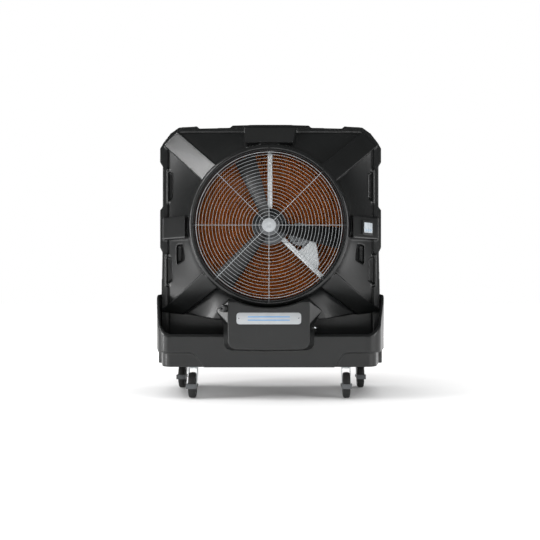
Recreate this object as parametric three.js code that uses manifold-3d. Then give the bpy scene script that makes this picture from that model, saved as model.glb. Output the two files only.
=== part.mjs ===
// A large portable evaporative cooler on four swivel casters, in millimetres.
// +Z is up, the air blows out towards -Y, and the origin is on the floor under the middle of the machine.
// A belt-driven fan pulls air through a wet media pad at the back and blows it out through a round guard.

import * as THREE from "three";
import { ConvexGeometry } from "three/addons/geometries/ConvexGeometry.js";
import { mergeVertices } from "three/addons/utils/BufferGeometryUtils.js";
import Module from "manifold-3d";

const wasm = await Module();
wasm.setup();

// ---- driving dimensions ----

const GAP = 0.4; // between pieces that touch

const TANK_HALF_WIDTH = 737;
const TANK_FRONT = -335;
const TANK_BACK = 414;
const TANK_FLOOR = 197;
const TANK_LIP = 391;
const TANK_WALL = 18;
const DECK = 375;
const BASIN_WALL = 46;
const BASIN_FRONT = TANK_FRONT + BASIN_WALL;
const BASIN_FLOOR = 213;
const FOOT_TOP = 288; // the steps over the front casters

const CABINET_HALF_WIDTH = 725;
const CABINET_BACK = 393;
const CABINET_FOOT = 300; // the legs stand on a ledge inside the tank
const CABINET_TOP = 1751.5;
const DUCT_HALF_WIDTH = 663;
const DUCT_TOP = 1692;
const FLANGE_FRONT = 30;
const FLANGE_BACK = 44;

const FAN_HEIGHT = 1074;
const THROAT_RADIUS = 462;
const RING_RADIUS = 500;
const RING_FRONT = -345;
const VENTURI_BACK = -140;
const BLADE_TIP = 450;
const BLADE_PLANE = -262;
const BLADE_ANGLES = [110, -10, -130];

const GUARD_FRONT = -352;
const GUARD_WIRE = 4;
const GUARD_RINGS = [43, 124, 205, 286, 367, 447]; // radii of the wires' inner edges
const GUARD_SPOKES = 8;

const STRUT_ANGLES = { top: 90, right: -44, left: -136 };
const STRUT_WIDTH = 30;
const STRUT_THICKNESS = 12;
const PLATE_THICKNESS = 6;
const BEARING_RADIUS = 95;
const SHAFT_RADIUS = 12.5;
const PULLEY_MIDDLE = -163;
const PULLEY_WIDTH = 24;
const BELT_WIDTH = 14;
const BELT_THICKNESS = 4;
const DRIVEN_RADIUS = 108;
const DRIVER_RADIUS = 42;

// The motor's axis is measured along the right strut and above it.
const MOTOR = { along: 170, above: 97.5, radius: 72, front: -118, back: 92 };

const CASTERS = {
  front_left: [-480, -212],
  front_right: [480, -212],
  rear_left: [-604, 288],
  rear_right: [604, 288],
};
const WHEEL_RADIUS = 80;
const WHEEL_WIDTH = 45;
const CASTER_TRAIL = 38; // every wheel rolls in front of its swivel, as after the machine was pushed back

const radians = THREE.MathUtils.degToRad;

// ---- materials ----

const finish = (color, roughness, metalness = 0) =>
  new THREE.MeshStandardMaterial({ color, roughness, metalness });
const charcoal = finish(0x3a3b3b, 0.5);
const black = finish(0x0b0b0c, 0.5);
const galvanised = finish(0xb4b6b6, 0.4, 0.9);
const chrome = finish(0xc4c6c7, 0.2, 1);
const rubber = finish(0x101010, 0.8);
const media = finish(0x6a3c1c, 0.9);
const label = finish(0xc8cacb, 0.45);
const darkPaint = finish(0x33383b, 0.4, 0.3);

const root = new THREE.Group();

// ---- solids: every piece is joined and cut as a closed solid, then turned into a mesh ----

function solid(geometry) {
  const bare = geometry.clone();
  bare.deleteAttribute("normal");
  bare.deleteAttribute("uv");
  const merged = mergeVertices(bare.index ? bare.toNonIndexed() : bare, 1e-3);
  const vertProperties = merged.attributes.position.array;
  const triVerts = new Uint32Array(merged.index.array);
  const made = new wasm.Manifold(new wasm.Mesh({ numProp: 3, vertProperties, triVerts }));
  if (made.volume() > 0) return made;
  return new wasm.Manifold(new wasm.Mesh({ numProp: 3, vertProperties, triVerts: triVerts.reverse() }));
}

function piece(name, material, made, parent = root) {
  const { numProp, numVert, vertProperties, triVerts } = made.getMesh();
  const points = new Float32Array(numVert * 3);
  for (let i = 0; i < numVert; i++) {
    points.set(vertProperties.subarray(i * numProp, i * numProp + 3), i * 3);
  }
  const geometry = new THREE.BufferGeometry();
  geometry.setAttribute("position", new THREE.BufferAttribute(points, 3));
  geometry.setIndex(new THREE.BufferAttribute(new Uint32Array(triVerts), 1));
  geometry.computeVertexNormals();
  const mesh = new THREE.Mesh(geometry, material);
  mesh.name = name;
  parent.add(mesh);
  return mesh;
}

const join = (first, ...rest) => rest.reduce((all, next) => all.add(next), first);

function block([x0, x1], [y0, y1], [z0, z1]) {
  const geometry = new THREE.BoxGeometry(x1 - x0, y1 - y0, z1 - z0);
  return solid(geometry.translate((x0 + x1) / 2, (y0 + y1) / 2, (z0 + z1) / 2));
}

function extruded(points, depth, holes = []) {
  const shape = new THREE.Shape(points.map(([a, b]) => new THREE.Vector2(a, b)));
  shape.holes = holes.map((hole) => new THREE.Path(hole.map(([a, b]) => new THREE.Vector2(a, b))));
  return new THREE.ExtrudeGeometry(shape, { depth, bevelEnabled: false });
}

// An outline of [x, z] points, extruded along Y.
const alongY = (points, [y0, y1], holes) =>
  solid(extruded(points, y1 - y0, holes).rotateX(Math.PI / 2).translate(0, y1, 0));

// An outline of [y, z] points, extruded along X.
const alongX = (points, [x0, x1]) =>
  solid(extruded(points, x1 - x0).rotateX(Math.PI / 2).rotateZ(Math.PI / 2).translate(x0, 0, 0));

// An outline of [x, y] points, extruded along Z.
const alongZ = (points, [z0, z1]) => solid(extruded(points, z1 - z0).translate(0, 0, z0));

// A profile of [radius, y] points turned about a line parallel to Y.
function turnedY(profile, segments, [x, z] = [0, FAN_HEIGHT]) {
  const points = profile.map(([r, y]) => new THREE.Vector2(r, y));
  return solid(new THREE.LatheGeometry(points, segments).translate(x, 0, z));
}

const ring = (inner, outer, [y0, y1], segments, centre) =>
  turnedY([[inner, y0], [outer, y0], [outer, y1], [inner, y1], [inner, y0]], segments, centre);

const disc = (radius, [y0, y1], segments, centre) =>
  turnedY([[0, y0], [radius, y0], [radius, y1], [0, y1]], segments, centre);

// Rows of points around the fan's axis, joined into a skin and closed by a fan of triangles at each end.
function lofted(rows) {
  const around = rows[0].length;
  const points = rows.flat();
  const middle = (row) => row.reduce((sum, p) => sum.add(p), new THREE.Vector3()).divideScalar(around);
  points.push(middle(rows[0]), middle(rows.at(-1)));
  const index = [];
  for (let j = 0; j < around; j++) {
    const next = (j + 1) % around;
    const last = (rows.length - 1) * around;
    for (let i = 0; i < last; i += around) {
      index.push(i + j, i + around + j, i + around + next, i + j, i + around + next, i + next);
    }
    index.push(points.length - 2, j, next, points.length - 1, last + next, last + j);
  }
  return solid(new THREE.BufferGeometry().setFromPoints(points).setIndex(index));
}

const hull = (points) => solid(new ConvexGeometry(points.map((p) => new THREE.Vector3(...p))));

const across = (a, b) => [Math.min(a, b), Math.max(a, b)];

const mirrorX = (points) => points.map(([x, ...rest]) => [-x, ...rest]);

// A closed outline from its right half, bottom to top.
const bothSides = (half) => [...half, ...mirrorX(half).reverse()];

// A rectangle with rounded corners: half-width, low, high and corner radius.
function rounded(half, low, high, radius, steps = 4) {
  const points = [];
  const corners = [[half - radius, low + radius, -90], [half - radius, high - radius, 0]];
  for (const [cx, cz, start] of corners) {
    for (let i = 0; i <= steps; i++) {
      const a = radians(start + (90 * i) / steps);
      points.push([cx + radius * Math.cos(a), cz + radius * Math.sin(a)]);
    }
  }
  return bothSides(points);
}

// ---- housing: a moulded front shroud on a rear cabinet that stands in the water tank ----

// The cabinet's outline: shallow recesses in the sides and top, and large cut-off corners.
const RECESS = 16;
const side = CABINET_HALF_WIDTH;
const cabinetOutline = bothSides([
  [side - 8, CABINET_FOOT],
  [side - 8, 650],
  [side - RECESS + 2, 914],
  [side, 942],
  [side, 1191],
  [side - RECESS, 1212],
  [side - RECESS, 1477],
  [side, 1502],
  [side, 1596],
  [side - 20, 1632],
  [side - 68, 1694],
  [side - 124, 1734],
  [483, 1741],
  [468, 1727],
  [267, 1732],
  [250, 1747],
  [90, CABINET_TOP],
]);

// The air duct inside the cabinet, grown outwards or shrunk by a distance.
const ductOutline = (grow = 0) => bothSides([
  [DUCT_HALF_WIDTH + grow, CABINET_FOOT - 20],
  [DUCT_HALF_WIDTH + grow, 1600],
  [DUCT_HALF_WIDTH - 25 + grow, 1650 + grow * 0.4],
  [DUCT_HALF_WIDTH - 75 + grow * 0.4, DUCT_TOP + grow],
]);

// Where the funnel's skin ends, going round from the fan's axis. Below, it ends on a lower edge
// that comes forward and down towards the middle, like a brow over the tank.
const BROW = { half: 300, middle: 485, side: 528, forward: 235 };
const smoothstep = THREE.MathUtils.smoothstep;
function funnelEdge(angle, inset) {
  const [c, s] = [Math.cos(angle), Math.sin(angle)];
  const half = DUCT_HALF_WIDTH - inset;
  const top = DUCT_TOP - inset - FAN_HEIGHT;
  const toSide = half / Math.max(Math.abs(c), 1e-9);
  let reach = toSide;
  let y = FLANGE_FRONT - 10;
  if (s > 0) reach = Math.min(toSide, top / s, (half + top - 92) / (Math.abs(c) + s));
  if (s < 0) {
    for (let i = 0; i < 6; i++) {
      const rise = smoothstep(Math.abs(reach * c), BROW.half, half);
      const edge = THREE.MathUtils.lerp(BROW.middle, BROW.side, rise) + inset;
      reach = Math.min(toSide, (FAN_HEIGHT - edge) / -s);
    }
    y -= smoothstep(-s, 0.3, 0.62) * BROW.forward * (1 - smoothstep(Math.abs(reach * c), BROW.half, half));
  }
  return { x: reach * c, z: FAN_HEIGHT + reach * s, y };
}

// The funnel is steep behind the ring and flares out to the flange, in a hollow curve.
const HOLLOW = 0.55;
function funnel(inset, front, back, around, steps) {
  const radius = RING_RADIUS - inset;
  const rows = [];
  for (let i = 0; i <= steps + 1; i++) {
    const share = Math.min(i / steps, 1) ** 1.3; // closer rows where the curve is tightest
    const row = [];
    for (let j = 0; j < around; j++) {
      const angle = ((j + 0.5) / around) * 2 * Math.PI;
      const edge = funnelEdge(angle, inset);
      const x = THREE.MathUtils.lerp(radius * Math.cos(angle), edge.x, share);
      const z = THREE.MathUtils.lerp(FAN_HEIGHT + radius * Math.sin(angle), edge.z, share);
      const y = i > steps ? back : THREE.MathUtils.lerp(front, edge.y + inset, share ** HOLLOW);
      row.push(new THREE.Vector3(x, y, z));
    }
    rows.push(row);
  }
  return lofted(rows);
}

// A buttress rib: a straight bar over the hollow of the funnel, from the ring out to a corner.
function rib(inner, outer, flip) {
  const at = ([x, z], y) => [flip * x, y, z];
  const [a, b] = inner;
  const [c, d] = outer;
  const front = [at(a, -322), at(b, -322), at(c[0], c[1]), at(d[0], d[1])];
  const behind = [at(a, -200), at(b, -200), at(c[0], FLANGE_BACK - 4), at(d[0], FLANGE_BACK - 4)];
  return hull([...front, ...behind]);
}

function ribs() {
  const upperInner = [[329, 1451], [417, 1354]];
  const upperOuter = [[[604, 1701], 16], [[696, 1610], 16]];
  const lowerInner = [[415, 779], [318, 691]];
  const lowerOuter = [[[715, 530], 22], [[562, 514], -45]];
  return [1, -1].flatMap((flip) => [
    rib(upperInner, upperOuter, flip),
    rib(lowerInner, lowerOuter, flip),
  ]);
}

// The flat-faced pods at the left, right and top, which stand out of the funnel.
const POD = { inner: 520, outer: 700, low: 997, high: 1137, front: -330, back: -8 };
function pods() {
  const plan = [
    [POD.inner, POD.front],
    [POD.outer - 6, POD.back - 8],
    [POD.outer, POD.back + 8],
    [POD.outer, FLANGE_FRONT + 6],
    [POD.inner + 60, FLANGE_FRONT + 6],
    [POD.inner - 14, -200],
  ];
  const top = [-168, 168].flatMap((x) => [
    [x, -6, 1726],
    [x, FLANGE_FRONT + 6, 1732],
    [x, FLANGE_FRONT + 6, 1640],
  ]);
  const low = [-148, 148].flatMap((x) => [[x, -318, 1588], [x, -180, 1566]]);
  return [
    alongZ(plan, [POD.low, POD.high]),
    alongZ(mirrorX(plan), [POD.low, POD.high]),
    hull([...top, ...low]),
  ];
}

// Hand grips in the funnel's sides: scoops that are deep on the outside and run out towards the fan.
const GRIP_FLOOR = -6;
const gripMouth = [[612, 967], [552, 972], [534, 866], [611, 816]];
const gripFloor = [[607, 955], [577, 955], [577, 856], [606, 838]];
const gripScoop = (flip) => hull([
  ...gripMouth.map(([x, z]) => [flip * x, -240, z]),
  ...gripMouth.map(([x, z]) => [flip * x, -150, z]),
  ...gripFloor.map(([x, z]) => [flip * x, GRIP_FLOOR, z]),
]);
const GRIP_MIDDLE = [585, 900];
const gripLiner = (flip) => {
  const grown = (points, y) => points.map(([x, z]) => {
    const [right, up] = [Math.sign(x - GRIP_MIDDLE[0]), Math.sign(z - GRIP_MIDDLE[1])];
    return [flip * (x + 10 * right), y, z + 10 * up];
  });
  return hull([...grown(gripMouth, -150), ...grown(gripFloor, GRIP_FLOOR + 9)]);
};

// Shallow slots beside the flange, each backed by a liner.
const SLOT_FLOOR = FLANGE_FRONT + 4;
const upperSlot = [[637, 1268], [668, 1245], [668, 1447], [637, 1426]];
const lowerSlot = [[640, 732], [679, 700], [679, 889], [640, 872]];
const slotPairs = [upperSlot, lowerSlot].flatMap((points) => [points, mirrorX(points)]);
const slotCuts = () => slotPairs.map((points) => alongY(points, [FLANGE_FRONT - 70, SLOT_FLOOR]));
const slotLiners = () => slotPairs.map((points) => {
  const [xs, zs] = [points.map(([x]) => x), points.map(([, z]) => z)];
  const reach = (values) => [Math.min(...values) - 8, Math.max(...values) + 8];
  return block(reach(xs), [FLANGE_FRONT - 14, FLANGE_BACK], reach(zs));
});

const RING_AROUND = 72;
function frontShroud() {
  const skin = 10;
  const lip = turnedY([[470, -280], [470, RING_FRONT + 4], [476, RING_FRONT], [486, RING_FRONT + 3],
    [496, RING_FRONT + 14], [500, RING_FRONT + 40], [500, -280], [470, -280]], RING_AROUND);
  const bore = disc(470, [-420, -270], RING_AROUND);
  const groove = alongY(ductOutline(12), [FLANGE_FRONT - 1, FLANGE_FRONT + 8])
    .subtract(alongY(ductOutline(), [0, FLANGE_BACK + 10]));
  const flange = alongY(cabinetOutline, [FLANGE_FRONT, FLANGE_BACK]).subtract(groove);
  const outside = join(funnel(0, -300, FLANGE_FRONT + 2, 120, 11), flange, lip, ...ribs(), ...pods());
  const body = outside
    .subtract(funnel(skin, -292, FLANGE_BACK + 20, 60, 11))
    .add(join(gripLiner(1), gripLiner(-1)).intersect(outside))
    .add(join(...slotLiners()));
  return [gripScoop(1), gripScoop(-1), bore, ...slotCuts()].reduce((all, cut) => all.subtract(cut), body);
}

piece("front_shroud", charcoal, frontShroud());
piece("rear_cabinet", charcoal, alongY(cabinetOutline, [FLANGE_BACK + GAP, CABINET_BACK])
  .subtract(alongY(ductOutline(), [0, CABINET_BACK + 10])));

// ---- tank: a tub with a deck in front, side walls that sweep up, and steps over the front casters ----

// The tank's plan, shrunk by a distance all round. Its sides draw in towards the front.
function tankPlan(inset = 0) {
  const arc = (cx, cy, r, start) => Array.from({ length: 7 }, (_, i) => {
    const a = radians(start - 15 * i);
    return [cx + r * Math.cos(a), cy + r * Math.sin(a)];
  });
  const [backRadius, frontRadius] = [Math.max(30, inset + 2), 100];
  return bothSides([
    ...arc(TANK_HALF_WIDTH - backRadius, TANK_BACK - backRadius, backRadius - inset, 90),
    [TANK_HALF_WIDTH - inset, -30],
    ...arc(TANK_HALF_WIDTH - 37 - frontRadius, TANK_FRONT + frontRadius, frontRadius - inset, 0),
  ]);
}

// The rim seen from the side: low in front, sweeping up round the corners to the rear walls.
const rimProfile = [
  [TANK_FRONT - 5, TANK_FLOOR],
  [TANK_FRONT - 5, TANK_LIP],
  [TANK_FRONT + 6, TANK_LIP + 2],
  [-314, 410],
  [-290, 436],
  [-235, 488],
  [-70, 600],
  [-30, 626],
  [0, 636],
  [TANK_BACK + 5, 636],
  [TANK_BACK + 5, TANK_FLOOR],
];

function tank() {
  const wide = [-TANK_HALF_WIDTH - 20, TANK_HALF_WIDTH + 20];
  const inside = TANK_BACK - TANK_WALL;
  const ledge = TANK_HALF_WIDTH - TANK_WALL;
  const underside = (inset, [y0, y1]) =>
    block(wide, [y0, y1], [180, FOOT_TOP]).subtract(alongZ(tankPlan(inset), [170, FOOT_TOP + 10]));
  const middle = alongY(bothSides([[404, 170], [404, 197], [446, 262], [462, 279], [489, FOOT_TOP + 1]]),
    [TANK_FRONT - 30, TANK_FRONT + 60]);
  return alongZ(tankPlan(), [TANK_FLOOR, 636])
    .intersect(alongX(rimProfile, wide))
    .subtract(alongZ(tankPlan(TANK_WALL), [DECK, 700]))
    .subtract(alongZ(tankPlan(BASIN_WALL), [BASIN_FLOOR, DECK - 16]))
    .subtract(block([-655, 655], [15, TANK_BACK - BASIN_WALL], [BASIN_FLOOR + 10, 700]))
    .subtract(block([-ledge, ledge], [15, inside], [CABINET_FOOT - GAP, 700]))
    .subtract(block([-650, 650], [inside - 10, TANK_BACK + 10], [420, 700]))
    .subtract(underside(28, [TANK_FRONT - 20, -60]).subtract(middle))
    .subtract(underside(12, [-60, TANK_BACK + 20]));
}
piece("tank", charcoal, tank());

// ---- places: groups whose pieces are modelled as if they faced the front at the origin ----

function place(x, y, z, turn = 0) {
  const group = new THREE.Group();
  group.position.set(x, y, z);
  group.rotation.z = radians(turn);
  root.add(group);
  group.updateMatrixWorld();
  return group;
}

// A round hole along Y of a place, from front to back, in the root's frame.
const holeAt = (group, radius, [y0, y1]) =>
  solid(new THREE.CylinderGeometry(radius, radius, y1 - y0, 24)
    .translate(0, (y0 + y1) / 2, 0).applyMatrix4(group.matrixWorld));

const hosePlace = place(-265, -374, 563, -40);
const drainPlace = place(265, -363, 447, 59);

// ---- valve box: a cover in front of the tank, over the water and drain connections ----

const BOX_FRONT = -390;
const BOX_BACK = TANK_FRONT - GAP;
const HOSE_RADIUS = 17;
const DRAIN_RADIUS = 12;

function valveBox() {
  const flat = (points, y) => points.map(([x, z]) => [x, y, z]);
  const low = bothSides([[0, 297], [235, 302], [262, 312], [278, 335], [281, 400], [281, 480]]);
  const lowFace = bothSides([[0, 309], [205, 314], [232, 325], [246, 350], [248, 480]]);
  const wing = bothSides([[281, 470], [292, 505], [328, 548], [252, 622]]);
  const wingFace = bothSides([[248, 470], [248, 606]]);
  const shell = join(
    hull([...flat(low, BOX_BACK), ...flat(lowFace, BOX_FRONT)]),
    hull([...flat(wing, BOX_BACK), ...flat(wingFace, BOX_FRONT)]),
  );
  const hollow = bothSides([[0, 330], [222, 335], [234, 360], [234, 560]]);
  const underRing = disc(RING_RADIUS + 6, [BOX_FRONT - 30, BOX_BACK + 30], RING_AROUND);
  return shell
    .subtract(alongY(hollow, [BOX_FRONT + 6, BOX_BACK + 1]))
    .subtract(underRing)
    .subtract(holeAt(hosePlace, HOSE_RADIUS + GAP, [-60, 12]))
    .subtract(holeAt(drainPlace, DRAIN_RADIUS + GAP, [-40, 12]));
}
piece("valve_box", charcoal, valveBox());

const plateFront = BOX_FRONT - GAP - 3;
piece("name_plate", label, alongY(rounded(197, 467, 538, 18), [plateFront, plateFront + 3]));

// The hose tail has a loose union nut; the drain cock has a quarter-turn T-handle.
const HERE = [0, 0]; // the middle of a place
const hoseTail = [[8, 11], [8, -34], [14, -34], [14, -9], [HOSE_RADIUS, -9], [HOSE_RADIUS, 11], [8, 11]];
const tee = join(
  disc(7, [-30, -20 - GAP], 16, HERE),
  block([-17, 17], [-34, -27], [-5.5, 5.5]),
);
piece("hose_inlet", black, turnedY(hoseTail, 20, HERE), hosePlace);
piece("inlet_nut", black, ring(14 + GAP, 23, [-33, -14], 24, HERE), hosePlace);
piece("drain_valve", black, disc(DRAIN_RADIUS, [-20, 11], 24, HERE), drainPlace);
piece("drain_handle", chrome, tee, drainPlace);

// ---- control panel: a proud bezel on the right pod, a keypad and its three buttons ----

const podFace = [POD.outer - 6 - POD.inner, POD.back - 8 - POD.front];
const podTurn = THREE.MathUtils.radToDeg(Math.atan2(podFace[1], podFace[0]));
const panelShare = 0.552; // how far along the pod's slope the panel's middle is
const panelX = POD.inner + podFace[0] * panelShare;
const panelY = POD.front + podFace[1] * panelShare;
const panelPlace = place(panelX, panelY, 1066, podTurn);
const BEZEL_THICKNESS = 9;
const BUTTONS = { power_button: -36, speed_button: 0, pump_button: 36 };
const BUTTON_Z = -16;

const bezelBack = -GAP;
const bezelFront = bezelBack - BEZEL_THICKNESS;
const keypadFront = bezelFront - GAP - 2;
const buttonHole = (s) => disc(8, [keypadFront - 5, bezelFront + 5], 14, [s, BUTTON_Z]);
const buttonHoles = (made) => Object.values(BUTTONS).reduce((all, s) => all.subtract(buttonHole(s)), made);
const bezelPlate = alongY(rounded(76, -46, 46, 10), [bezelFront, bezelBack]);
const keypadPlate = alongY(rounded(61, -32, 32, 5), [keypadFront, bezelFront - GAP]);
piece("control_bezel", black, buttonHoles(bezelPlate), panelPlace);
piece("keypad", label, buttonHoles(keypadPlate), panelPlace);
for (const [name, s] of Object.entries(BUTTONS)) {
  piece(name, darkPaint, disc(7.5, [keypadFront - 1.5, bezelFront + 2], 20, [s, BUTTON_Z]), panelPlace);
}

// ---- fan: guard, venturi, blades on a belt-driven shaft, and the three struts that carry them ----

// Points [along, above] on an arm that leaves the fan's axis at an angle, turned into [x, z].
const onArm = (angle, points) => {
  const [c, s] = [Math.cos(radians(angle)), Math.sin(radians(angle))];
  return points.map(([along, above]) => [along * c - above * s, FAN_HEIGHT + along * s + above * c]);
};
const bar = (angle, [from, to], width, depth) =>
  alongY(onArm(angle, [[from, -width / 2], [to, -width / 2], [to, width / 2], [from, width / 2]]), depth);

function fanGuard() {
  const depth = [GUARD_FRONT, GUARD_FRONT + GUARD_WIRE];
  const wires = GUARD_RINGS.slice(1).map((r) => ring(r, r + GUARD_WIRE, depth, 36));
  const spokes = Array.from({ length: GUARD_SPOKES }, (_, i) => (i * 360) / GUARD_SPOKES);
  const rods = spokes.map((angle) => bar(angle, [30, 480], GUARD_WIRE + 0.2, depth));
  const feet = spokes.map((angle) => bar(angle, [473, 480], 9, [GUARD_FRONT, RING_FRONT - GAP]));
  return join(disc(GUARD_RINGS[0], depth, 24), ...wires, ...rods, ...feet);
}
piece("fan_guard", galvanised, fanGuard());

const throat = [[THROAT_RADIUS, VENTURI_BACK], [THROAT_RADIUS, RING_FRONT + 9], [469.5, RING_FRONT + 9],
  [469.5, VENTURI_BACK - 6], [488, VENTURI_BACK - 6], [488, VENTURI_BACK], [THROAT_RADIUS, VENTURI_BACK]];
piece("venturi_ring", black, turnedY(throat, RING_AROUND));

const HUB_RADIUS = 60;
piece("fan_hub", galvanised, disc(HUB_RADIUS, [BLADE_PLANE - 24, BLADE_PLANE + 30], 32));

// A blade is a thin plate, wider and flatter towards its tip: [radius, width, pitch].
const BLADE_STATIONS = [[HUB_RADIUS + GAP, 70, 38], [160, 92, 33], [300, 120, 26], [BLADE_TIP, 146, 20]];
function blade(angle) {
  const rows = BLADE_STATIONS.map(([radius, width, pitch]) => {
    const [c, s] = [Math.cos(radians(pitch)), Math.sin(radians(pitch))];
    const corners = [[-width / 2, -2], [width / 2, -2], [width / 2, 2], [-width / 2, 2]];
    return corners.map(([u, v]) => {
      const [[x, z]] = onArm(angle, [[radius, u * c - v * s]]);
      return new THREE.Vector3(x, BLADE_PLANE + u * s + v * c, z);
    });
  });
  return lofted(rows);
}
BLADE_ANGLES.forEach((angle, i) => piece(`fan_blade_${i + 1}`, black, blade(angle)));

const strutFront = VENTURI_BACK + GAP;
const strutBack = strutFront + STRUT_THICKNESS;
const plateDepth = [strutBack + GAP, strutBack + GAP + PLATE_THICKNESS];
piece("fan_shaft", chrome, disc(SHAFT_RADIUS, [BLADE_PLANE + 30 + GAP, -70], 20));
for (const [name, angle] of Object.entries(STRUT_ANGLES)) {
  piece(`strut_${name}`, galvanised, bar(angle, [34, 485], STRUT_WIDTH, [strutFront, strutBack]));
}
const bearing = ring(SHAFT_RADIUS + GAP, 30, [plateDepth[0], -80], 20);
piece("bearing_plate", galvanised, join(ring(SHAFT_RADIUS + GAP, BEARING_RADIUS, plateDepth, 24), bearing));

const motorAt = onArm(STRUT_ANGLES.right, [[MOTOR.along, MOTOR.above]])[0];
function pulley(radius, segments, centre) {
  const [half, groove, rim] = [PULLEY_WIDTH / 2, BELT_WIDTH / 2 + GAP, radius + 5];
  const profile = [[0, -half], [rim, -half], [rim, -groove], [radius, -groove],
    [radius, groove], [rim, groove], [rim, half], [0, half]];
  return turnedY(profile.map(([r, y]) => [r, PULLEY_MIDDLE + y]), segments, centre);
}
const shaftHole = disc(SHAFT_RADIUS + GAP, [PULLEY_MIDDLE - 30, PULLEY_MIDDLE + 30], 20);
piece("driven_pulley", darkPaint, pulley(DRIVEN_RADIUS, 36, [0, FAN_HEIGHT]).subtract(shaftHole));
piece("motor_pulley", darkPaint, join(pulley(DRIVER_RADIUS, 20, motorAt),
  disc(9, [PULLEY_MIDDLE, MOTOR.front - GAP], 16, motorAt)));

// The belt's edge: an arc around each pulley, joined by the two straight runs.
function beltLoop(grow) {
  const [[mx, mz], [r1, r2]] = [motorAt, [DRIVEN_RADIUS + grow, DRIVER_RADIUS + grow]];
  const heading = Math.atan2(mz - FAN_HEIGHT, mx);
  const open = Math.acos((r1 - r2) / Math.hypot(mx, mz - FAN_HEIGHT));
  const arc = ([x, z], r, from, to, steps) => Array.from({ length: steps + 1 }, (_, i) => {
    const a = from + ((to - from) * i) / steps;
    return [x + r * Math.cos(a), z + r * Math.sin(a)];
  });
  return [
    ...arc([0, FAN_HEIGHT], r1, heading + open, heading + 2 * Math.PI - open, 24),
    ...arc([mx, mz], r2, heading - open, heading + open, 9),
  ];
}
const beltDepth = [PULLEY_MIDDLE - BELT_WIDTH / 2, PULLEY_MIDDLE + BELT_WIDTH / 2];
const beltInside = beltLoop(2 * GAP).reverse();
piece("drive_belt", rubber, alongY(beltLoop(GAP + BELT_THICKNESS), beltDepth, [beltInside]));

// The motor hangs beside the right strut, on a plate that a gusset ties to the strut.
const footStart = MOTOR.along + 40;
const footEnd = MOTOR.along + MOTOR.radius + 6;
const shelfStart = footEnd + GAP;
const shelfEnd = shelfStart + 5;
const foot = [[footStart, 56], [footEnd, 56], [footEnd, 139], [footStart, 139]];
const shelf = [[shelfStart, -15], [shelfEnd, -15], [shelfEnd, 132], [shelfStart, 132]];
const gusset = [
  [218, -15],
  [405, -15],
  [405, 20],
  [388, 50],
  [283, 132],
  [256, 132],
  [250, 55],
  [236, 15],
  [218, 15],
];
piece("motor", darkPaint, join(
  disc(MOTOR.radius, [MOTOR.front, MOTOR.back], 32, motorAt),
  alongY(onArm(STRUT_ANGLES.right, foot), [MOTOR.front + 20, MOTOR.back - 30]),
));
piece("motor_bracket", galvanised, join(
  alongY(onArm(STRUT_ANGLES.right, gusset), plateDepth),
  alongY(onArm(STRUT_ANGLES.right, shelf), [plateDepth[0], MOTOR.back - 30]),
));

// ---- rear: media pad in its frame, held by two turn latches, and the water pipe above it ----

const PAD_DEPTH = [CABINET_BACK - 120, CABINET_BACK - 29];
const FRAME_DEPTH = [PAD_DEPTH[1] + GAP, CABINET_BACK];
const FRAME_FOOT = 424;
const frameOutline = bothSides([[656, FRAME_FOOT], [656, 1598], [632, 1645], [590, 1676]]);
const frameHole = bothSides([[612, 470], [612, 1585], [592, 1618], [568, 1636]]);
const padOutline = bothSides([[650, FRAME_FOOT + 6 + GAP], [650, 1570], [622, 1606]]);
piece("media_pad", media, alongY(padOutline, PAD_DEPTH));

function padFrame() {
  const grille = [FRAME_DEPTH[1] - 14, FRAME_DEPTH[1]];
  const bars = [-306, 0, 306].map((x) => block([x - 12, x + 12], grille, [460, 1645]));
  const rails = [850, 1240].map((z) => block([-620, 620], grille, [z - 12, z + 12]));
  const sill = block([-650, 650], [PAD_DEPTH[0], FRAME_DEPTH[1]], [FRAME_FOOT, FRAME_FOOT + 6]);
  return join(alongY(frameOutline, FRAME_DEPTH, [[...frameHole].reverse()]), ...bars, ...rails, sill);
}
piece("pad_frame", black, padFrame());
for (const [name, flip] of [["pad_latch_left", -1], ["pad_latch_right", 1]]) {
  const tab = block(across(flip * 628, flip * 702), [CABINET_BACK + GAP, CABINET_BACK + 6], [1050, 1078]);
  piece(name, black, tab.add(disc(14, [CABINET_BACK + GAP, CABINET_BACK + 12], 20, [flip * 688, 1064])));
}

const HEADER = { half: 560, y: CABINET_BACK - 74, z: 1642, radius: 13 };
piece("water_header", black, solid(
  new THREE.CylinderGeometry(HEADER.radius, HEADER.radius, 2 * HEADER.half, 16)
    .rotateZ(Math.PI / 2).translate(0, HEADER.y, HEADER.z),
));

// ---- water: pump and riser hose, float valve with its arm ----

// A profile of [radius, z] points turned about an upright line.
const turnedZ = (profile, segments, [x, y]) =>
  solid(new THREE.LatheGeometry(profile.map(([r, z]) => new THREE.Vector2(r, z)), segments)
    .rotateX(Math.PI / 2).translate(x, y, 0));

const PUMP = { at: [420, 130], radius: 55, floor: BASIN_FLOOR + GAP, top: 330 };
piece("pump", black, turnedZ([[0, PUMP.floor], [PUMP.radius, PUMP.floor], [PUMP.radius, 290], [22, 312],
  [16, PUMP.top], [0, PUMP.top]], 28, PUMP.at));

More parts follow.
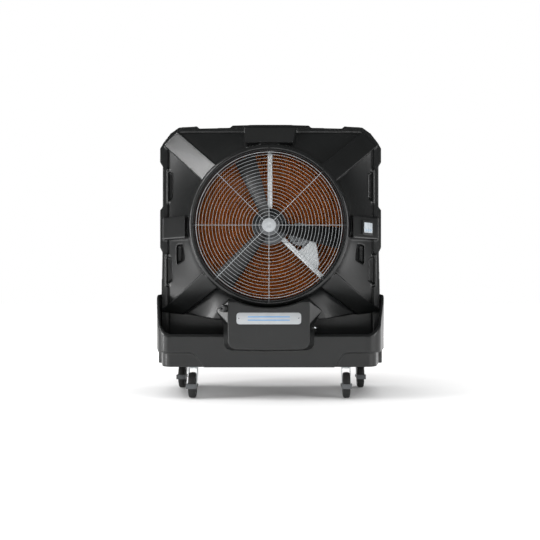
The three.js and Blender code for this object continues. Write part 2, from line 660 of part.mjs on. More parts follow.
const RISER_Y = PAD_DEPTH[0] - 37; // the hose climbs in front of the pad
const hoseRoute = new THREE.CatmullRomCurve3([
  [...PUMP.at, PUMP.top + GAP],
  [...PUMP.at, 372],
  [500, 165, 420],
  [600, RISER_Y - 12, 450],
  [634, RISER_Y, 520],
  [636, RISER_Y, 1000],
  [634, RISER_Y, 1540],
  [622, RISER_Y + 15, 1618],
  [605, RISER_Y + 57, 1641],
  [590, HEADER.y, HEADER.z],
  [HEADER.half + GAP, HEADER.y, HEADER.z],
].map((p) => new THREE.Vector3(...p)), false, "centripetal");
const hoseSection = new THREE.Shape().absarc(0, 0, 10, 0, 2 * Math.PI);
piece("riser_hose", rubber, solid(new THREE.ExtrudeGeometry(hoseSection,
  { steps: 32, curveSegments: 4, bevelEnabled: false, extrudePath: hoseRoute })));

const FLOAT = { x: -150, y: -262, z: 322, reach: 124, drop: 16, ball: 26 };
piece("float_valve", black, block(
  [FLOAT.x - 12, FLOAT.x + 12],
  [BASIN_FRONT + GAP, FLOAT.y - 9],
  [FLOAT.z - 14, FLOAT.z + 14],
));
const floatRod = hull([-3, 3].flatMap((x) => [-3, 3].flatMap((z) => [
  [FLOAT.x + x, FLOAT.y - 6, FLOAT.z + z],
  [FLOAT.x + x, FLOAT.y + FLOAT.reach, FLOAT.z - FLOAT.drop + z],
])));
const floatBall = solid(new THREE.SphereGeometry(FLOAT.ball, 14, 8)
  .translate(FLOAT.x, FLOAT.y + FLOAT.reach, FLOAT.z - FLOAT.drop));
piece("float_arm", darkPaint, floatRod.add(floatBall));

const GLAND = { y: 280, z: 770, from: CABINET_HALF_WIDTH - 7.6, length: 19 };
piece("cord_gland", black, solid(new THREE.CylinderGeometry(14, 14, GLAND.length, 20)
  .rotateZ(Math.PI / 2).translate(GLAND.from + GLAND.length / 2, GLAND.y, GLAND.z)));

// ---- casters: plate, swivelling fork, wheel on its axle, and a toe brake round the wheel ----

// A profile of [radius, x] points turned about the wheel's axle.
const turnedX = (profile, segments) =>
  solid(new THREE.LatheGeometry(profile.map(([r, x]) => new THREE.Vector2(r, x)), segments)
    .rotateZ(-Math.PI / 2).translate(0, -CASTER_TRAIL, WHEEL_RADIUS));

const AXLE_RADIUS = 6;
const FORK_INSIDE = WHEEL_WIDTH / 2 + 2.5;
const FORK_WALL = 3;
const CROWN = [182, 188];
const axleHole = () => turnedX([[0, -50], [AXLE_RADIUS + GAP, -50], [AXLE_RADIUS + GAP, 50], [0, 50]], 12);
const pair = (make) => [make(1), make(-1)];

function fork() {
  const foot = [[-15, 82], [-11, 69], [0, 64], [11, 69], [15, 82]].map(([y, z]) => [y - CASTER_TRAIL, z]);
  const leg = [...foot, [32, 150], [32, CROWN[1]], [-34, CROWN[1]], [-34, 160]];
  const legs = pair((flip) => alongX(leg, across(flip * FORK_INSIDE, flip * (FORK_INSIDE + FORK_WALL))));
  const crown = block([-FORK_INSIDE - 1, FORK_INSIDE + 1], [-34, 32], CROWN);
  const raceTop = TANK_FLOOR - 6;
  const race = turnedZ([[0, CROWN[1] - 2], [28, CROWN[1] - 2], [24, raceTop], [0, raceTop]], 16, HERE);
  return join(crown, ...legs, race).subtract(axleHole());
}

function brake() {
  const inside = FORK_INSIDE + FORK_WALL + GAP;
  const reach = CASTER_TRAIL + WHEEL_RADIUS + 12;
  const eye = [[0, 69], [8, 73], [11, 80], [8, 87], [0, 91]].map(([y, z]) => [y - CASTER_TRAIL, z]);
  const arm = [[-reach, 66], [-reach + 5, 66], ...eye, [-reach + 5, 95], [-reach, 95]];
  const arms = pair((flip) => alongX(arm, across(flip * inside, flip * (inside + 2.5))));
  const band = block([-inside - 2.5, inside + 2.5], [-reach, -reach + 5], [66, 95]);
  return join(band, ...arms).subtract(axleHole());
}

function wheel() {
  const half = WHEEL_WIDTH / 2;
  const bore = AXLE_RADIUS + GAP;
  return turnedX([[bore, -half], [58, -half + 4], [66, -half], [76, -half + 4], [WHEEL_RADIUS, -half + 11],
    [WHEEL_RADIUS, half - 11], [76, half - 4], [66, half], [58, half - 4], [bore, half], [bore, -half]], 24);
}

function axle() {
  const end = FORK_INSIDE + FORK_WALL + 2.5 + 2 * GAP;
  return turnedX([[0, -end - 4], [9, -end - 4], [9, -end], [AXLE_RADIUS, -end], [AXLE_RADIUS, end], [9, end],
    [9, end + 4], [0, end + 4]], 12);
}

const casterPlate = block([-45, 45], [-40, 40], [TANK_FLOOR - 6 + GAP, TANK_FLOOR - GAP]);
for (const [name, [x, y]] of Object.entries(CASTERS)) {
  const at = place(x, y, 0);
  piece(`caster_plate_${name}`, galvanised, casterPlate, at);
  piece(`caster_fork_${name}`, galvanised, fork(), at);
  piece(`caster_wheel_${name}`, rubber, wheel(), at);
  piece(`caster_axle_${name}`, chrome, axle(), at);
  piece(`caster_brake_${name}`, darkPaint, brake(), at);
}

export default root;
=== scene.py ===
# A large portable evaporative cooler on casters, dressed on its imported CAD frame.

import bpy
import math
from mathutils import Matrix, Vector


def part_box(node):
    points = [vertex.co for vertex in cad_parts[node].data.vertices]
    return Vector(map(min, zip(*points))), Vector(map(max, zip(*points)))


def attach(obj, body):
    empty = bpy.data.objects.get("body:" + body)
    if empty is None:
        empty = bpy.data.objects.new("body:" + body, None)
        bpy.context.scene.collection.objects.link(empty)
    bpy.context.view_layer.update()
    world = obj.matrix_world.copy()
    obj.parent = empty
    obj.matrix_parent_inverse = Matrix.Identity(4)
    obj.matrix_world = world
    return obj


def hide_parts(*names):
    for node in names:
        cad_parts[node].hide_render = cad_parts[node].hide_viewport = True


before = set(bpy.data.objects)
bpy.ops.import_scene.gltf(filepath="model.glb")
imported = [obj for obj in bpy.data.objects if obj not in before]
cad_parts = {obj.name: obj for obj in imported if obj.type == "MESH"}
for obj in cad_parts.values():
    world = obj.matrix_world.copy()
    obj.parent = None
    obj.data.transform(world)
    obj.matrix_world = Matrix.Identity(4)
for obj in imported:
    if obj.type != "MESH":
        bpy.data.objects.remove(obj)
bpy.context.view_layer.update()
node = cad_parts


# ---- Studio ----
# A pale floor that glows, its glow dimmed near the machine as a painted shadow round its base, under a
# white backdrop, a large soft light high on the left, weaker ones on the right and overhead, and a long lens
# at chest height in front of the machine.

def aim(thing, target):
    thing.rotation_euler = (Vector(target) - thing.location).to_track_quat("-Z", "Y").to_euler()

camera = bpy.data.objects.new("camera", bpy.data.cameras.new("camera"))
camera.location = (0.154, -5.9, 0.798)
camera.rotation_euler = (math.radians(90), 0, 0)
camera.data.lens = 60.27
camera.data.shift_x = -0.0446
camera.data.clip_end = 60
bpy.context.scene.collection.objects.link(camera)
bpy.context.scene.camera = camera

def soft_light(name, place, target, size, watts):
    lamp = bpy.data.objects.new(name, bpy.data.lights.new(name, "AREA"))
    lamp.data.shape = "RECTANGLE"
    lamp.data.size, lamp.data.size_y = size
    lamp.data.energy = watts
    lamp.location = place
    bpy.context.scene.collection.objects.link(lamp)
    aim(lamp, target)
    return lamp

soft_light("low_key", (-4.2, -1.5, 1.1), (-0.4, 0, 0.9), (0.8, 2.2), 105)
soft_light("high_key", (-3.4, -0.6, 4.0), (0, 0, 1.2), (1.2, 1.2), 85)
soft_light("edge", (4.0, -2.2, 1.6), (0.4, 0, 1.1), (1.2, 2.0), 75)
front = soft_light("front", (0, -5.5, 1.2), (0, 0, 1.05), (2.4, 1.6), 210)
front.visible_glossy = False
overhead = soft_light("overhead", (0, 0.5, 6.0), (0, 0.5, 0), (10.0, 10.0), 640)
overhead.visible_glossy = False

world = bpy.data.worlds.new("studio")
bpy.context.scene.world = world
world.use_nodes = True
sky = world.node_tree
sky.nodes["Background"].inputs["Color"].default_value = (1, 1, 1, 1)
sky.nodes["Background"].inputs["Strength"].default_value = 0.07
backdrop = sky.nodes.new("ShaderNodeBackground")
backdrop.inputs["Color"].default_value = (1, 1, 1, 1)
seen = sky.nodes.new("ShaderNodeLightPath")
either = sky.nodes.new("ShaderNodeMixShader")
sky.links.new(seen.outputs["Is Camera Ray"], either.inputs["Fac"])
sky.links.new(sky.nodes["Background"].outputs[0], either.inputs[1])
sky.links.new(backdrop.outputs[0], either.inputs[2])
sky.links.new(either.outputs[0], sky.nodes["World Output"].inputs["Surface"])
bpy.context.scene.view_settings.view_transform = "Standard"


def linear(hex_colour):
    channels = [int(hex_colour[i:i + 2], 16) / 255 for i in (0, 2, 4)]
    return [c / 12.92 if c < 0.04045 else ((c + 0.055) / 1.055) ** 2.4 for c in channels] + [1]


def add(material, kind, settings, links=None):
    """Adds one shader node: settings are its properties and input values, links its inputs' sources."""
    tree = material.node_tree
    new = tree.nodes.new("ShaderNode" + kind)
    for key, value in settings.items():
        if key in new.inputs:
            new.inputs[key].default_value = value
        else:
            setattr(new, key, value)
    for key, (source, socket) in (links or {}).items():
        tree.links.new(source.outputs[socket], new.inputs[key])
    return new


def new_material(name, colour, roughness, metallic=0.0):
    material = bpy.data.materials.new(name)
    material.use_nodes = True
    shader = material.node_tree.nodes["Principled BSDF"]
    shader.inputs["Base Color"].default_value = linear(colour)
    shader.inputs["Roughness"].default_value = roughness
    shader.inputs["Metallic"].default_value = metallic
    return material, shader


def wire(material, source, socket, shader, key):
    material.node_tree.links.new(source.outputs[socket], shader.inputs[key])


bpy.ops.mesh.primitive_plane_add(size=30, location=(0, 0, -0.0005))
floor = bpy.context.object
floor.name = "floor"
floor_glow_with_painted_shadow, shader = new_material("white_floor_glow_with_painted_shadow_near_machine", "e6e6e6", 0.7)
shader.inputs["Emission Color"].default_value = (1, 1, 1, 1)
# The floor's glow is weakest under the machine and rises with distance from the floor's middle: a painted
# shadow round the machine's base.
where = add(floor_glow_with_painted_shadow, "TexCoord", {})
away = add(floor_glow_with_painted_shadow, "VectorMath", {"operation": "LENGTH"}, {"Vector": (where, "Object")})
glow_dimmed_near_machine = add(floor_glow_with_painted_shadow, "MapRange", {"From Min": 0.9, "From Max": 5.0, "To Min": 0.04, "To Max": 1.0},
           {"Value": (away, "Value")})
wire(floor_glow_with_painted_shadow, glow_dimmed_near_machine, "Result", shader, "Emission Strength")
floor.data.materials.append(floor_glow_with_painted_shadow)


# ---- Moulded housing: front shroud, rear cabinet, tank and valve box ----
# Four hollow mouldings of charcoal polyethylene, rotationally moulded, so every edge has a soft
# radius and the skin has a fine orange peel with a slight wander in its gloss.

def pick(*things):
    bpy.ops.object.select_all(action="DESELECT")
    for thing in things:
        thing.select_set(True)
    bpy.context.view_layer.objects.active = things[-1]


def modify(thing, kind, **settings):
    pick(thing)
    modifier = thing.modifiers.new(kind.lower(), kind)
    for key, value in settings.items():
        setattr(modifier, key, value)
    bpy.ops.object.modifier_apply(modifier=modifier.name)


def cad_copy(name):
    """A merged copy of a CAD node, with its flat faces made whole."""
    thing = bpy.data.objects.new(name + "_finished", node[name].data.copy())
    bpy.context.scene.collection.objects.link(thing)
    thing.data.materials.clear()
    pick(thing)
    bpy.ops.object.mode_set(mode="EDIT")
    bpy.ops.mesh.select_all(action="SELECT")
    bpy.ops.mesh.remove_doubles(threshold=0.00002)
    bpy.ops.mesh.dissolve_limited(angle_limit=math.radians(0.4))
    bpy.ops.object.mode_set(mode="OBJECT")
    return thing


def settle(thing, name, material, slot, body, *nodes):
    """Names a finished piece, gives it its finish and its body, and hides the CAD nodes it stands for."""
    pick(thing)
    bpy.ops.object.transform_apply(location=True, rotation=True, scale=True)
    thing.name = name
    thing.data.materials.clear()
    thing.data.materials.append(material)
    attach(thing, body)
    if nodes:
        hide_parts(*nodes)
    return thing


def calm_group(thing, degrees):
    """A vertex group of the vertices whose surroundings are nearly flat, away from every edge."""
    mesh = thing.data
    bend = [0.0] * len(mesh.vertices)
    for edge in mesh.edges:
        one, other = edge.vertices
        turn = mesh.vertices[one].normal.angle(mesh.vertices[other].normal, 0)
        bend[one] = max(bend[one], turn)
        bend[other] = max(bend[other], turn)
    group = thing.vertex_groups.new(name="calm")
    group.add([i for i, turn in enumerate(bend) if turn < math.radians(degrees)], 1.0, "REPLACE")


MOST_TRIANGLES = 190000
FLAT_DEGREES = 3.2


def moulded(name, cell, passes):
    """The CAD shape with moulded radii: rebuilt in small cells, eased, calmed where flat, then thinned."""
    thing = cad_copy(name)
    modify(thing, "REMESH", mode="VOXEL", voxel_size=cell)
    modify(thing, "SMOOTH", factor=0.5, iterations=passes)
    calm_group(thing, FLAT_DEGREES)
    modify(thing, "SMOOTH", factor=0.5, iterations=60, vertex_group="calm")
    thing.vertex_groups.clear()
    triangles = sum(len(face.vertices) - 2 for face in thing.data.polygons)
    modify(thing, "DECIMATE", ratio=min(1, MOST_TRIANGLES / triangles))
    bpy.ops.object.shade_smooth()
    return thing


# Polyethylene straight from the oven mould: satin, with an orange peel about 3 mm across.
polyethylene, shader = new_material("rotomoulded_charcoal_polyethylene", "0d0e0e", 0.34)
where = add(polyethylene, "TexCoord", {})
wander = add(polyethylene, "TexNoise", {"Scale": 3.0, "Detail": 3.0}, {"Vector": (where, "Object")})
gloss = add(polyethylene, "MapRange", {"To Min": 0.29, "To Max": 0.38}, {"Value": (wander, "Fac")})
wire(polyethylene, gloss, "Result", shader, "Roughness")
PEEL_MM = 3.0
peel = add(polyethylene, "TexNoise", {"Scale": 1000 / PEEL_MM, "Detail": 1.5},
           {"Vector": (where, "Object")})
skin = add(polyethylene, "Bump", {"Strength": 0.22, "Distance": 0.0006}, {"Height": (peel, "Fac")})
wire(polyethylene, skin, "Normal", shader, "Normal")
shade = add(polyethylene, "Mix", {"data_type": "RGBA"}, {"Factor": (wander, "Fac")})
shade.inputs["A"].default_value = linear("0c0d0d")
shade.inputs["B"].default_value = linear("121313")
wire(polyethylene, shade, "Result", shader, "Base Color")

for name, cell, passes in (
    ("front_shroud", 0.005, 2),
    ("tank", 0.005, 3),
    ("valve_box", 0.0035, 4),
    ("rear_cabinet", 0.0065, 2),
):
    settle(moulded(name, cell, passes), name + "_moulding", polyethylene, "moulded_charcoal", "housing", name)


# ---- Fan guard ----
# Round rings of zinc-plated wire, closely spaced, welded to eight straight spokes and to a pressed
# disc in the middle. Black clips over the spokes' ends hold the guard to the ring's lip.

def grained(name, colour, other, roughness, grain_mm, depth_mm, metallic=0.0, spread=0.08):
    """A finish that wanders between two colours and two roughnesses, with a fine relief of real size."""
    material, shader = new_material(name, colour, roughness, metallic)
    where = add(material, "TexCoord", {})
    drift = add(material, "TexNoise", {"Scale": 22.0, "Detail": 4.0}, {"Vector": (where, "Object")})
    tone = add(material, "Mix", {"data_type": "RGBA"}, {"Factor": (drift, "Fac")})
    tone.inputs["A"].default_value = linear(colour)
    tone.inputs["B"].default_value = linear(other)
    gloss = add(material, "MapRange", {"To Min": roughness - spread, "To Max": roughness + spread},
                {"Value": (drift, "Fac")})
    grain = add(material, "TexNoise", {"Scale": 1000 / grain_mm, "Detail": 2.0},
                {"Vector": (where, "Object")})
    relief = add(material, "Bump", {"Strength": 0.5, "Distance": depth_mm / 1000},
                 {"Height": (grain, "Fac")})
    wire(material, tone, "Result", shader, "Base Color")
    wire(material, gloss, "Result", shader, "Roughness")
    wire(material, relief, "Normal", shader, "Normal")
    return material


def lathe(profile, place=(0, 0, 0), turn=(0, 0, 0), around=48):
    """A turned shape: a circle extruded and scaled through each (radius, height), its ends closed."""
    radius, height = profile[0]
    bpy.ops.object.select_all(action="DESELECT")
    bpy.ops.mesh.primitive_circle_add(vertices=around, radius=radius, location=(0, 0, height))
    thing = bpy.context.object
    bpy.ops.object.transform_apply(location=True, rotation=True, scale=True)
    bpy.ops.object.mode_set(mode="EDIT")
    bpy.ops.mesh.select_all(action="SELECT")
    for wider, higher in profile[1:]:
        bpy.ops.mesh.extrude_region_move(TRANSFORM_OT_translate={"value": (0, 0, higher - height)})
        grow = wider / radius
        bpy.ops.transform.resize(value=(grow, grow, 1), center_override=(0, 0, 0))
        radius, height = wider, higher
    bpy.ops.mesh.select_all(action="SELECT")
    bpy.ops.mesh.remove_doubles(threshold=0.00001)
    bpy.ops.mesh.fill_holes(sides=0)
    bpy.ops.mesh.select_all(action="SELECT")
    bpy.ops.mesh.normals_make_consistent(inside=False)
    bpy.ops.object.mode_set(mode="OBJECT")
    thing.rotation_euler = [math.radians(t) for t in turn]
    thing.location = place
    bpy.ops.object.transform_apply(location=True, rotation=True, scale=True)
    bpy.ops.object.shade_smooth_by_angle(angle=math.radians(32))
    return thing


def joined(*things):
    pick(*things)
    bpy.ops.object.join()
    return bpy.context.object


FACING_FRONT = (90, 0, 0)
FACING_BACK = (-90, 0, 0)


def pan_head(place, turn, radius):
    """A pan-head screw, with a washer under it and a round drive recess."""
    r = radius
    return lathe([(r * 1.45, 0), (r * 1.45, r * 0.2), (r, r * 0.22), (r, r * 0.5), (r * 0.8, r * 0.75),
                  (r * 0.35, r * 0.85), (r * 0.3, r * 0.45), (r * 0.02, r * 0.4)], place, turn, 20)


def bevelled_block(size, place, radius, tilt=0):
    """A small block with broken edges, tilted about the machine's depth."""
    bpy.ops.mesh.primitive_cube_add(size=1, location=place, rotation=(0, tilt, 0))
    block = bpy.context.object
    block.scale = size
    bpy.ops.object.transform_apply(location=True, rotation=True, scale=True)
    modify(block, "BEVEL", width=radius, segments=2)
    return block


FAN_Z = 1.074


def round_the_fan(degrees, radius, depth, middle=(0, FAN_Z)):
    """A place at an angle and a radius round the fan's middle, or round another one, at a depth."""
    angle = math.radians(degrees)
    return (middle[0] + math.cos(angle) * radius, depth, middle[1] + math.sin(angle) * radius)


# Electroplated and passivated wire, satin rather than bright.
zinc = grained("bright_zinc_plated_wire", "9da0a2", "8a8d8f", 0.42, 4, 0.02, 0.4)
WIRE_PITCH = 0.0206
RINGS_Y = -0.3472
SPOKES_Y = -0.3500  # the spokes lie in front of the rings
EIGHTHS = range(0, 360, 45)
rings = [(0.062 + WIRE_PITCH * i, 0.0013) for i in range(19)] + [(0.449, 0.0020)]
wires = []
for radius, half in rings:
    bpy.ops.mesh.primitive_torus_add(major_radius=radius, minor_radius=half, major_segments=112,
                                     minor_segments=6, location=(0, RINGS_Y, FAN_Z),
                                     rotation=(math.radians(90), 0, 0))
    wires.append(bpy.context.object)
for degrees in EIGHTHS:
    bpy.ops.mesh.primitive_cylinder_add(vertices=10, radius=0.0017, depth=0.413,
                                        location=round_the_fan(degrees, 0.2465, SPOKES_Y),
                                        rotation=(0, math.radians(90) - math.radians(degrees), 0))
    wires.append(bpy.context.object)
guard = joined(*wires)
bpy.ops.object.shade_smooth_by_angle(angle=math.radians(60))
settle(guard, "guard_wires", zinc, "zinc_wire", "housing", "fan_guard")
pressed = lathe([(0.0002, 0.0006), (0.008, 0.0006), (0.012, 0.0016), (0.030, 0.0016), (0.034, 0.0006),
                 (0.0425, 0.0006), (0.0432, -0.0002), (0.0425, -0.0010), (0.0002, -0.0010)],
                (0, -0.3514, FAN_Z), FACING_FRONT, 64)
settle(pressed, "guard_disc", zinc, "zinc_wire", "housing")
# Powder coat, baked, with a faint orange peel.
black_enamel = grained("black_powder_coat", "080808", "0e0e0f", 0.42, 1.2, 0.05)
CLIP_SIZE = (0.031, 0.003, 0.013)
clips = []
for degrees in EIGHTHS:
    place = round_the_fan(degrees, 0.4635, -0.3474)
    clips.append(bevelled_block(CLIP_SIZE, place, 0.0009, -math.radians(degrees)))
    clips.append(pan_head(round_the_fan(degrees, 0.4735, -0.3489), FACING_FRONT, 0.0028))
settle(joined(*clips), "guard_clips", black_enamel, "black_plastic", "housing")


# ---- Venturi ring ----
# A spun inlet ring in black-painted steel, with a rolled lip around its mouth.

def eased(name, radius_mm, material, slot, body, sharp=30):
    """A CAD part with its edges broken by a small radius."""
    thing = cad_copy(name)
    modify(thing, "BEVEL", width=radius_mm / 1000, segments=2, angle_limit=math.radians(sharp))
    bpy.ops.object.shade_smooth_by_angle(angle=math.radians(35))
    return settle(thing, name + "_finished", material, slot, body, name)


eased("venturi_ring", 1.2, black_enamel, "black_plastic", "housing")


# ---- Fan ----
# Three pitched blades of black glass-filled nylon, riveted to a cast aluminium hub that is keyed to
# a ground steel shaft.

# As-cast aluminium with the sand's grain, moulded nylon with its glass just showing, ground steel.
cast_aluminium = grained("sand_cast_aluminium", "77797a", "66686a", 0.5, 1.4, 0.12, 1.0)
blade_nylon = grained("black_glass_filled_nylon", "060606", "0b0b0b", 0.36, 0.9, 0.03)
ground_steel = grained("ground_bright_steel", "c2c5c8", "a9adb0", 0.24, 0.8, 0.01, 1.0)
eased("fan_hub", 1.5, cast_aluminium, "cast_hub", "fan")
eased("fan_shaft", 0.6, ground_steel, "bright_steel", "fan")
for number in (1, 2, 3):
    eased("fan_blade_%d" % number, 1.2, blade_nylon, "black_blade", "fan", 50)
cap = lathe([(0.030, 0), (0.030, 0.002), (0.027, 0.005), (0.012, 0.007), (0.011, 0.012), (0.006, 0.013),
             (0.0002, 0.013)], (0, -0.286, FAN_Z), FACING_FRONT)
settle(cap, "hub_cap", ground_steel, "bright_steel", "fan")


# ---- Drive ----
# Two cast V-pulleys and a rubber belt, an enamelled motor on a folded bracket, and a bearing plate.

# Zinc from the dipping bath, turned iron, moulded rubber, and sprayed enamel.
galvanised = grained("hot_dip_galvanised_steel", "d6d9da", "c3c7c9", 0.5, 14, 0.004, 0.35, 0.08)
pulley_iron = grained("machined_grey_iron", "5d5f61", "4a4c4d", 0.42, 1.5, 0.06, 1.0)
belt_rubber = grained("ribbed_belt_rubber", "141414", "1d1c1b", 0.7, 1.0, 0.05)
motor_enamel = grained("grey_motor_enamel", "6b6e70", "5c5f61", 0.45, 1.5, 0.05)
eased("driven_pulley", 0.8, pulley_iron, "cast_pulley", "fan")
eased("motor_pulley", 0.8, pulley_iron, "cast_pulley", "motor_shaft")
eased("drive_belt", 0.8, belt_rubber, "belt_rubber", "housing")
eased("motor", 1.5, motor_enamel, "motor_shell", "housing")
eased("motor_bracket", 1.0, galvanised, "galvanised", "housing")
eased("bearing_plate", 1.0, galvanised, "galvanised", "housing")
for name in ("strut_top", "strut_left", "strut_right"):
    eased(name, 1.0, galvanised, "galvanised", "housing")
STRUT_FACE_Y = -0.1396
bolts = []
for strut_degrees in (90, -44, -136):
    for reach in (0.052, 0.080):
        bolts.append(pan_head(round_the_fan(strut_degrees, reach, STRUT_FACE_Y), FACING_FRONT, 0.005))
settle(joined(*bolts), "bearing_bolts", ground_steel, "bright_steel", "housing")
low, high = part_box("motor_pulley")
motor_middle = ((low.x + high.x) / 2, (low.z + high.z) / 2)
FIN_SIZE = (0.008, 0.150, 0.0026)
fins = []
for degrees in range(20, 260, 12):
    place = round_the_fan(degrees, 0.0745, -0.012, motor_middle)
    fins.append(bevelled_block(FIN_SIZE, place, 0.0008, -math.radians(degrees)))
settle(joined(*fins), "motor_fins", motor_enamel, "motor_shell", "housing")


# ---- Evaporative pad ----
# Sheets of stiffened brown paper, pleated and glued back to back. The pleats of one sheet climb
# toward the back and those of the next fall, so air and water cross at every fold.

PLEAT = 0.0140
CLIMB = 0.042
PLEATS_UP = 92  # enough to pass both ends of the pad, which are then cut level
SHEET_PAIRS = 92
low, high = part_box("media_pad")


def pleated_sheet(climb, x):
    """One sheet: two leaves of a pleat, tipped front to back, repeated up past both ends of the pad."""
    leaves = []
    for lean, z in ((45, 0), (-45, PLEAT / 2)):
        bpy.ops.mesh.primitive_plane_add(size=1)
        leaf = bpy.context.object
        leaf.scale = (PLEAT / math.sqrt(2), high.y - low.y, 1)
        leaf.rotation_euler = (0, math.radians(lean), 0)
        leaf.location = (0, 0, z)
        leaves.append(leaf)
    sheet = joined(*leaves)
    bpy.ops.object.transform_apply(location=True, rotation=True, scale=True)
    bpy.ops.object.mode_set(mode="EDIT")
    bpy.ops.mesh.select_all(action="DESELECT")
    bpy.ops.object.mode_set(mode="OBJECT")
    for vertex in sheet.data.vertices:
        vertex.select = vertex.co.y > 0
    bpy.ops.object.mode_set(mode="EDIT")
    bpy.ops.transform.translate(value=(0, 0, climb))
    bpy.ops.object.mode_set(mode="OBJECT")
    sheet.location = (x, (low.y + high.y) / 2, low.z - CLIMB)
    bpy.ops.object.transform_apply(location=True, rotation=True, scale=True)
    modify(sheet, "ARRAY", count=PLEATS_UP, use_relative_offset=False, use_constant_offset=True,
           constant_offset_displace=(0, 0, PLEAT))
    return sheet


first = low.x + 0.008
pad = joined(pleated_sheet(CLIMB, first), pleated_sheet(-CLIMB, first + PLEAT / 2))
for height, above in ((low.z, False), (high.z, True)):
    bpy.ops.object.mode_set(mode="EDIT")
    bpy.ops.mesh.select_all(action="SELECT")
    bpy.ops.mesh.bisect(plane_co=(0, 0, height), plane_no=(0, 0, 1),
                        clear_outer=above, clear_inner=not above)
    bpy.ops.object.mode_set(mode="OBJECT")
modify(pad, "ARRAY", count=SHEET_PAIRS, use_relative_offset=False, use_constant_offset=True,
       constant_offset_displace=(PLEAT, 0, 0))
# Kraft paper soaked in resin and cured: matt, fibrous and unevenly brown.
cellulose = grained("resin_stiffened_brown_cellulose", "c9762f", "a85d24", 0.9, 1.5, 0.2)
settle(pad, "pad_sheets", cellulose, "media", "housing", "media_pad")
# Injection-moulded polypropylene from a lightly spark-eroded mould.
frame_polypropylene = grained("black_polypropylene", "111212", "1a1b1b", 0.5, 0.8, 0.05)
eased("pad_frame", 1.5, frame_polypropylene, "black_plastic", "housing")


# ---- Pad latches ----
# Two turn-button latches in black polypropylene, each held by a steel shoulder screw.

for side, x in (("left", -0.688), ("right", 0.688)):
    eased("pad_latch_" + side, 1.5, frame_polypropylene, "black_plastic", "pad_latch_" + side)
    settle(pan_head((x, 0.405, 1.064), FACING_BACK, 0.005), "latch_screw_" + side,
           ground_steel, "bright_steel", "pad_latch_" + side)


# ---- Water circuit ----
# A submersible pump, an EPDM riser hose, a drilled header over the pad, and a float valve.

# Extruded rubber, and a blow-moulded float with a waxy skin.
hose_rubber = grained("black_epdm_hose", "131313", "1b1a1a", 0.62, 1.2, 0.08)
float_plastic = grained("blown_polyethylene_float", "d9dad4", "c9cac2", 0.4, 1.0, 0.03)
for name in ("pump", "water_header", "float_valve", "cord_gland"):
    eased(name, 1.0, frame_polypropylene, "black_plastic", "housing")
eased("riser_hose", 0.5, hose_rubber, "hose_rubber", "housing", 40)
eased("float_arm", 0.8, float_plastic, "float_plastic", "float_arm")


# ---- Valve box fittings ----
# A hose union with its ribbed nut, a drain cock with a plated tee handle, and a brushed name plate
# with two rivets and plain blue rules.

# Plate brushed lengthwise, and blue enamel fired into its rules.
brushed = grained("brushed_stainless_plate", "a9acae", "999c9e", 0.42, 0.6, 0.02, 0.5, 0.05)
blue_enamel = grained("blue_enamel_rule", "2f7fb6", "2a74a8", 0.4, 0.5, 0.02)
eased("hose_inlet", 0.8, frame_polypropylene, "black_plastic", "housing")
eased("inlet_nut", 0.8, frame_polypropylene, "black_plastic", "inlet_nut")
eased("drain_valve", 0.8, frame_polypropylene, "black_plastic", "housing")
eased("drain_handle", 0.6, ground_steel, "bright_steel", "drain_handle")
eased("name_plate", 0.8, brushed, "plate_face", "housing")
for side in (-1, 1):
    settle(pan_head((side * 0.183, -0.3934, 0.5025), FACING_FRONT, 0.0035), "plate_rivet_%d" % (side + 2),
           ground_steel, "bright_steel", "housing")
RULE_SIZE = (0.256, 0.0006, 0.005)
rules = [bevelled_block(RULE_SIZE, (0, -0.3935, z), 0.0002) for z in (0.4925, 0.5125)]
settle(joined(*rules), "plate_rules", blue_enamel, "plate_face", "housing")


# ---- Control panel ----
# A black bezel on the right pod, a printed polyester keypad, and three rubber buttons.

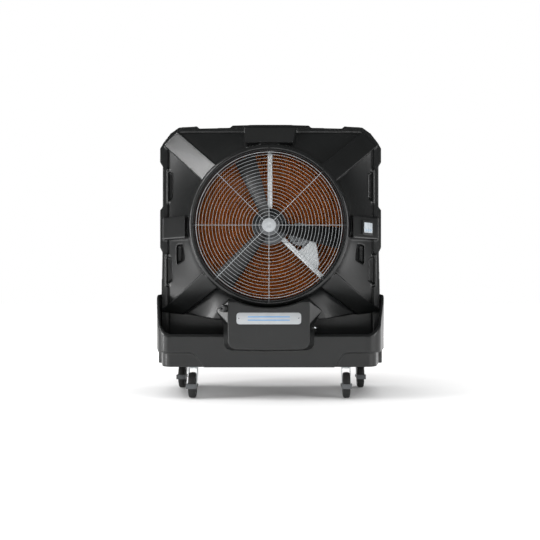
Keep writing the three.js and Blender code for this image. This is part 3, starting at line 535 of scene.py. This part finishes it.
# Screen-printed film with a fine matt texture, and silicone moulded in one shot.
keypad_film = grained("printed_polyester_film", "a9afb3", "a0a6ab", 0.36, 0.5, 0.02)
button_rubber = grained("silicone_button", "8fa3b4", "869aab", 0.5, 0.6, 0.02)
eased("control_bezel", 1.5, frame_polypropylene, "black_plastic", "housing")
eased("keypad", 0.5, keypad_film, "keypad_film", "housing")
for name in ("power_button", "speed_button", "pump_button"):
    eased(name, 0.4, button_rubber, "button_rubber", name)


# ---- Casters ----
# Four swivel casters: a zinc-plated plate and fork, a rubber tyre on a nylon wheel, a steel axle
# with its nuts, and a toe brake in grey enamel. Each hangs from its plate and turns about its race.

# Moulded tread, moulded nylon, and stoved enamel over pressed steel.
tyre_rubber = grained("black_thermoplastic_rubber", "101010", "181818", 0.68, 1.0, 0.06)
wheel_nylon = grained("grey_nylon_wheel_centre", "3a3b3c", "444546", 0.45, 0.8, 0.05)
brake_enamel = grained("grey_stoved_enamel", "4a4c4e", "424446", 0.42, 0.9, 0.04)
TYRE = [(0.056, -0.0200), (0.066, -0.0225), (0.074, -0.0205), (0.0785, -0.0150), (0.0798, -0.0070),
        (0.0800, 0), (0.0798, 0.0070), (0.0785, 0.0150), (0.074, 0.0205), (0.066, 0.0225),
        (0.056, 0.0200), (0.055, 0), (0.056, -0.0200)]
CENTRE = [(0.0100, -0.0215), (0.0190, -0.0215), (0.0210, -0.0140), (0.0440, -0.0100), (0.0490, -0.0190),
          (0.0555, -0.0195), (0.0556, 0), (0.0555, 0.0195), (0.0490, 0.0190), (0.0440, 0.0100),
          (0.0210, 0.0140), (0.0190, 0.0215), (0.0100, 0.0215), (0.0100, -0.0215)]
ON_AXLE = (0, 90, 0)
for corner in ("front_left", "front_right", "rear_left", "rear_right"):
    low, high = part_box("caster_wheel_" + corner)
    middle = (low + high) / 2
    settle(lathe(TYRE, middle, ON_AXLE, 72), "tyre_" + corner, tyre_rubber, "tread_rubber",
           "wheel_" + corner, "caster_wheel_" + corner)
    settle(lathe(CENTRE, middle, ON_AXLE, 56), "wheel_centre_" + corner, wheel_nylon, "caster_black",
           "wheel_" + corner)
    eased("caster_fork_" + corner, 0.8, galvanised, "caster_black", "caster_" + corner)
    eased("caster_axle_" + corner, 0.6, ground_steel, "bright_steel", "caster_" + corner)
    eased("caster_brake_" + corner, 1.0, brake_enamel, "brake_grey", "brake_" + corner)
    eased("caster_plate_" + corner, 0.8, galvanised, "galvanised", "housing")
